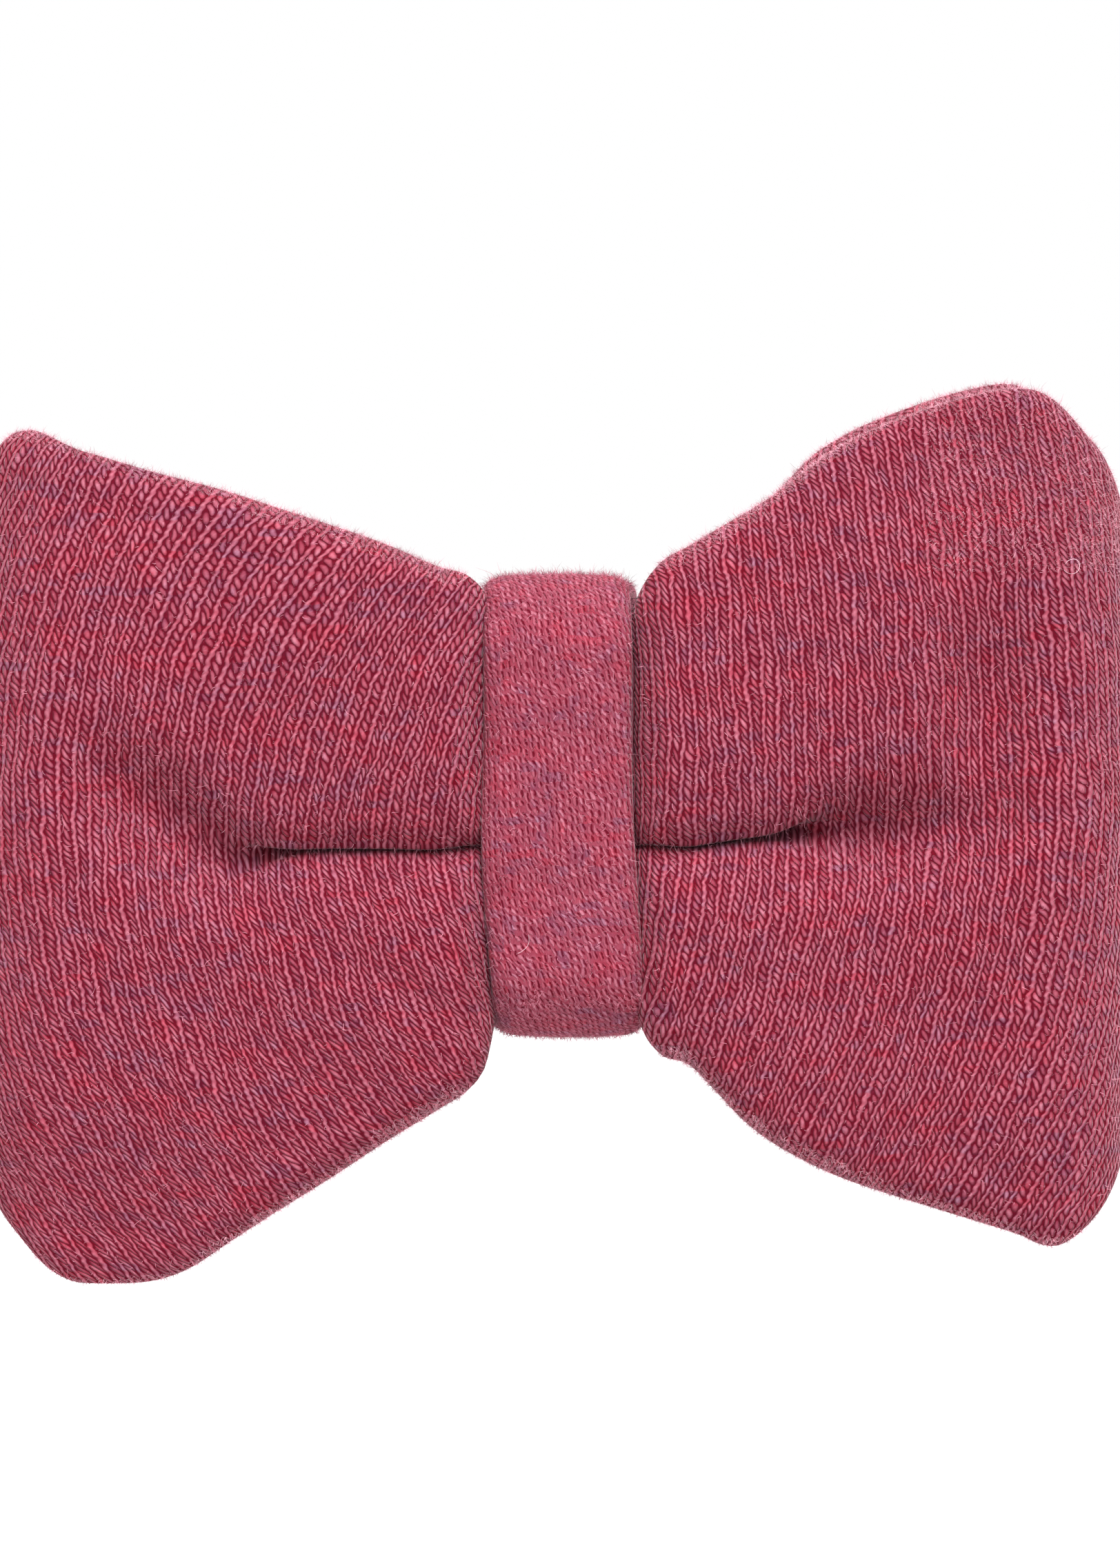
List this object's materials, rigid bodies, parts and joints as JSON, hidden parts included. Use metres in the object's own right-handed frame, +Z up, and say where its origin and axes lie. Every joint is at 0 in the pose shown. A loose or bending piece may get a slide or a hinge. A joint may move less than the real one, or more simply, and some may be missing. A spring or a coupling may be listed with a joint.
{
  "type": "bow tie",
  "caption": "Small clip-on bow tie of padded melange jersey with a gathered waist, a wide knot band and a sprung steel clip behind.",
  "frame": {"origin": "middle of the clip base's gripping face, behind the knot, where the collar holds the bow", "axes": "+X to the right seen from the front, +Y towards the wearer, +Z up; the front faces -Y"},
  "size_m": [0.0843, 0.0264, 0.065],
  "materials": {
    "jersey": "brushed melange knit",
    "wadding": "soft white wadding",
    "thread": "matt sewing thread",
    "clip_steel": "nickel plated",
    "spring_steel": "drawn wire"
  },
  "bodies": {
    "bow": {"bow_cover": "jersey", "bow_wadding": "wadding", "bow_seam_thread": "thread", "gather_thread": "thread", "knot_band": "jersey", "knot_lining": "wadding", "knot_thread": "thread", "clip_base": "clip_steel", "clip_pin": "clip_steel", "clip_spring": "spring_steel"},
    "lever": {"clip_lever": "clip_steel"}
  },
  "joints": [
    {"name": "clip_hinge", "type": "hinge", "parent": "bow", "child": "lever", "pos_m": [0.012, 0.00208, 0], "axis": [0, 0, -1], "range_deg": [0, 25], "stiffness_Nm_per_rad": 0.03, "springref_deg": -34.38, "deforming": ["clip_spring"]}
  ]
}
